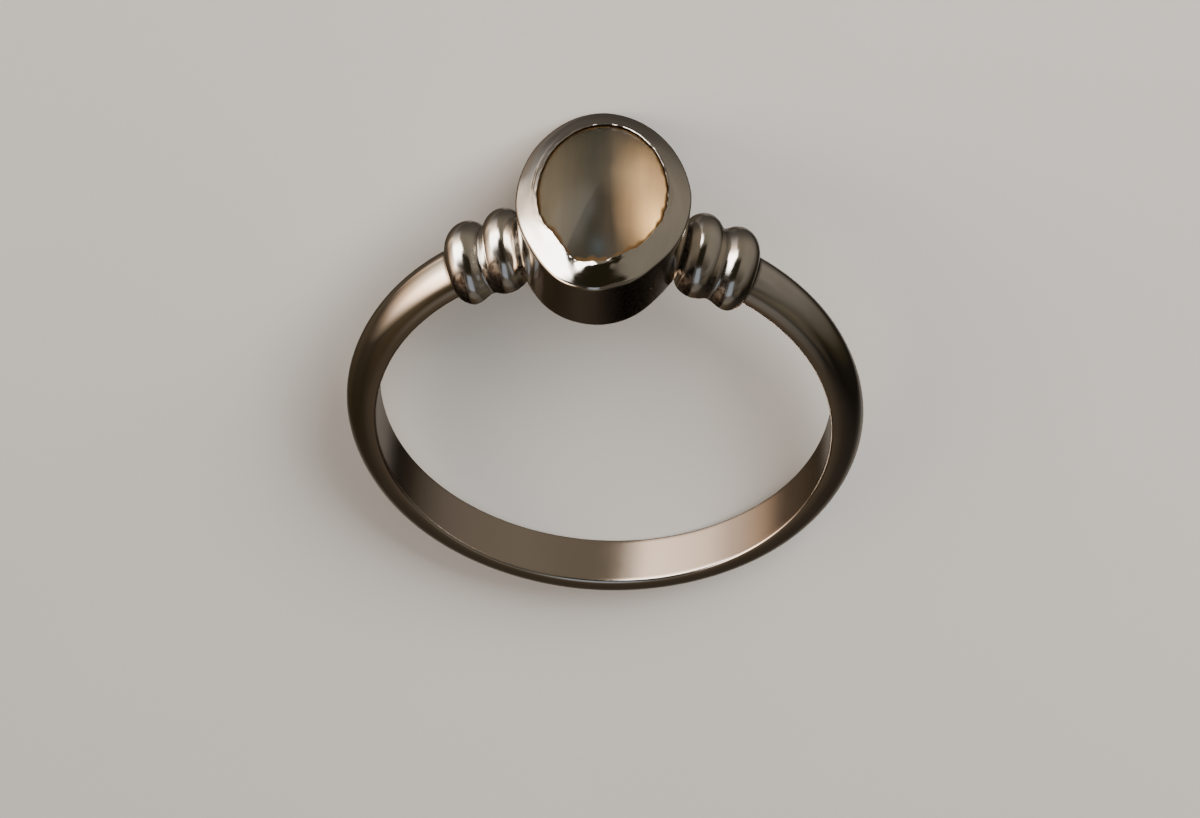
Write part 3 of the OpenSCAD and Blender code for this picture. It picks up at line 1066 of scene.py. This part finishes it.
def moonstone_material():
    """Cloudy translucent stone: grey olive on one side, a painted peach glow on the other, and a painted
    dark band between.
    """
    material, n = new_material("moonstone")
    place = n.read("place").outputs["Vector"]
    grime = n.read("grime").outputs["Fac"]
    cloud = n.noise(place, 0.45, 2.0, 0.5)
    streaks = n.noise(n.stretched(place, (4.0, 0.5, 1.0), 0.0), 1.0, 3.0, 0.55)
    parts = n.add("ShaderNodeSeparateXYZ", {"Vector": place}).outputs
    drift = n.math("MULTIPLY_ADD", cloud, CLOUD_DRIFT, -CLOUD_DRIFT / 2)
    across = n.math("MULTIPLY_ADD", n.math("ADD", parts["X"], drift), -1 / STONE_ACROSS, 0.5)
    along = n.math("MULTIPLY_ADD", n.math("ADD", parts["Y"], drift), 1 / STONE_ALONG, 0.5)
    body = stone_body_and_shade(n, place, parts, across, along)
    colour = n.plus(body, painted_stone_glow(n, place, parts, across, along))
    colour = n.times(colour, n.ramp(streaks, *STREAK_TONES))
    specks = n.add("ShaderNodeTexVoronoi", {"Vector": place, "Scale": 1.6})
    dots = n.ramp(specks.outputs["Distance"], *SPECK_EDGE)
    colour = n.mix(n.math("MULTIPLY", dots, SPECK_STRENGTH), colour, SPECK_COLOUR)
    colour = n.mix(grime, colour, GRIME_COLOUR)
    n.surface({
        "Base Color": colour,
        "Roughness": n.math("MULTIPLY_ADD", grime, GRIME_ROUGH, STONE_ROUGH),
        "IOR": 1.53,
        "Specular IOR Level": 0.10,
        "Subsurface Weight": 0.35,
        "Subsurface Radius": (1.0, 0.8, 0.6),
        "Subsurface Scale": 0.0003,
        "Normal": n.relief(streaks, 0.15),
    })
    return material


def floor_material():
    material, n = new_material("pale_floor")
    place = n.add("ShaderNodeTexCoord").outputs["Object"]
    tone = n.ramp(n.noise(place, 30.0, 3.0), *FLOOR_TONES)
    n.surface({"Base Color": tone, "Roughness": 0.75})
    return material


def make_floor():
    half = FLOOR_HALF
    corners = [(-half, -half, 0), (half, -half, 0), (half, half, 0), (-half, half, 0)]
    mesh = bpy.data.meshes.new("floor")
    mesh.from_pydata(corners, [], [(0, 1, 2, 3)])
    mesh.materials.append(floor_material())
    floor = bpy.data.objects.new("floor", mesh)
    bpy.context.scene.collection.objects.link(floor)
    floor.visible_glossy = False


def softbox(name, azimuth, elevation, distance, size, power, colour):
    """An area light that faces the ring, unseen by the camera and by the metal."""
    data = bpy.data.lights.new(name, "AREA")
    data.shape = "RECTANGLE"
    data.size, data.size_y = size
    data.energy = power
    data.color = colour
    light = bpy.data.objects.new(name, data)
    a, e = math.radians(azimuth), math.radians(elevation)
    out = Vector((math.sin(a) * math.cos(e), -math.cos(a) * math.cos(e), math.sin(e)))
    light.location = out * distance
    light.rotation_mode = "QUATERNION"
    light.rotation_quaternion = out.to_track_quat("Z", "Y")
    light.visible_camera = False
    light.visible_glossy = False
    bpy.context.scene.collection.objects.link(light)


class Room(Nodes):
    """The nodes of the studio, with levels over the azimuth and the elevation of a direction."""

    def __init__(self, tree):
        super().__init__(tree)
        direction = self.add("ShaderNodeTexCoord").outputs["Generated"]
        self.parts = self.add("ShaderNodeSeparateXYZ", {"Vector": direction}).outputs
        minus_y = self.math("MULTIPLY", self.parts["Y"], -1.0)
        self.azimuth = self.math("DEGREES", self.math("ARCTAN2", self.parts["X"], minus_y))
        self.elevation = self.math("DEGREES", self.math("ARCSINE", self.parts["Z"]))

    def around(self, stops):
        return self.window(self.azimuth, 180, stops)

    def up(self, stops):
        return self.window(self.elevation, 90, stops)

    def patched(self, light, patch):
        """The light with one patch of the room in a colour of its own."""
        share = self.math("MULTIPLY", self.around(patch["around"]), self.up(patch["up"]))
        return self.mix(share, light, patch["colour"])


def in_key_light(n):
    """1 in the key light and in all that lies beyond its near edge."""
    edge = n.math("MULTIPLY", n.up(KEY_EDGE_UP), KEY_EDGE_UNIT)
    return n.rise(n.math("SUBTRACT", n.azimuth, edge), *KEY_EDGE_SOFT)


def key_light(n, in_key):
    """The bright softbox, dim and warm in its low part, and the warm wall beyond it."""
    leaned = n.math("MULTIPLY_ADD", n.elevation, KEY_LEAN, n.math("ADD", n.azimuth, KEY_SHIFT))
    box_or_wall = n.mix(n.rise(leaned, *KEY_TO_WALL), n.up(KEY_UP), n.up(WALL_UP))
    return n.times(n.window(leaned, 180, KEY_AROUND), n.times(box_or_wall, in_key))


def in_panel(n):
    """1 in the panel overhead."""
    steep = n.math("MAXIMUM", n.parts["Z"], LEAST_RISE)
    x = n.math("ABSOLUTE", n.math("DIVIDE", n.parts["X"], steep))
    y = n.math("ABSOLUTE", n.math("ADD", n.math("DIVIDE", n.parts["Y"], steep), PANEL_SHIFT))
    inside_x = n.math("SUBTRACT", PANEL_HALF[0], x)
    inside_y = n.math("SUBTRACT", PANEL_HALF[1], y)
    sharp = n.math("MULTIPLY", n.math("MINIMUM", inside_x, inside_y), PANEL_SHARP)
    return n.add("ShaderNodeClamp", {"Value": sharp}).outputs[0]


def make_world():
    """Studio round the ring: what its polished metal mirrors, and what the eye sees behind it.

    A bright key light stands on the +X side and runs into a warm wall. A dim fill covers the
    -X side and the front, with a dark gap before the key light. A table lies below, a ceiling
    and a bluish panel hang above, and the rest of the room is nearly dark.
    """
    world = bpy.data.worlds.new("studio")
    world.use_nodes = True
    n = Room(world.node_tree)
    in_key = in_key_light(n)
    before_key = n.math("SUBTRACT", 1.0, in_key)

    fill = n.times(n.around(FILL_AROUND), n.math("MULTIPLY", n.up(FILL_UP), before_key))
    side = n.patched(n.times(n.around(SIDE_AROUND), n.up(SIDE_UP)), FAR_SIDE)
    table = n.times(n.up(TABLE_UP), n.around(TABLE_AROUND))
    light = n.plus(n.plus(key_light(n, in_key), fill), n.plus(side, table))
    light = n.patched(light, CEILING)
    in_gap = n.math("MULTIPLY", n.rise(n.azimuth, *GAP_FROM), before_key)
    light = n.mix(n.math("MULTIPLY", in_gap, n.up(GAP_UP)), light, GAP_COLOUR)
    light = n.mix(in_panel(n), light, PANEL_COLOUR)
    light = n.plus(light, n.times(n.around(BEHIND_AROUND), n.up(BEHIND_UP)))
    light = n.plus(light, DARK_ROOM)

    mirrored = n.add("ShaderNodeBackground", {"Color": light, "Strength": STUDIO_STRENGTH}).outputs[0]
    backdrop = n.add("ShaderNodeBackground", {"Color": (*BACKDROP, 1), "Strength": 1.0}).outputs[0]
    by_eye = n.add("ShaderNodeLightPath").outputs["Is Camera Ray"]
    seen = n.add("ShaderNodeMixShader", {0: by_eye, 1: mirrored, 2: backdrop})
    n.add("ShaderNodeOutputWorld", {"Surface": seen.outputs[0]})
    bpy.context.scene.world = world


def make_lights():
    """Two soft lights for the floor and the stone."""
    for light in SOFTBOXES:
        softbox(**light)


make_camera()
make_floor()
make_world()
make_lights()
silver = silver_material()
make_band(silver)
make_cup(silver)
make_shoulder(1, "collars_left", silver)
make_shoulder(-1, "collars_right", silver)
make_stone(moonstone_material())
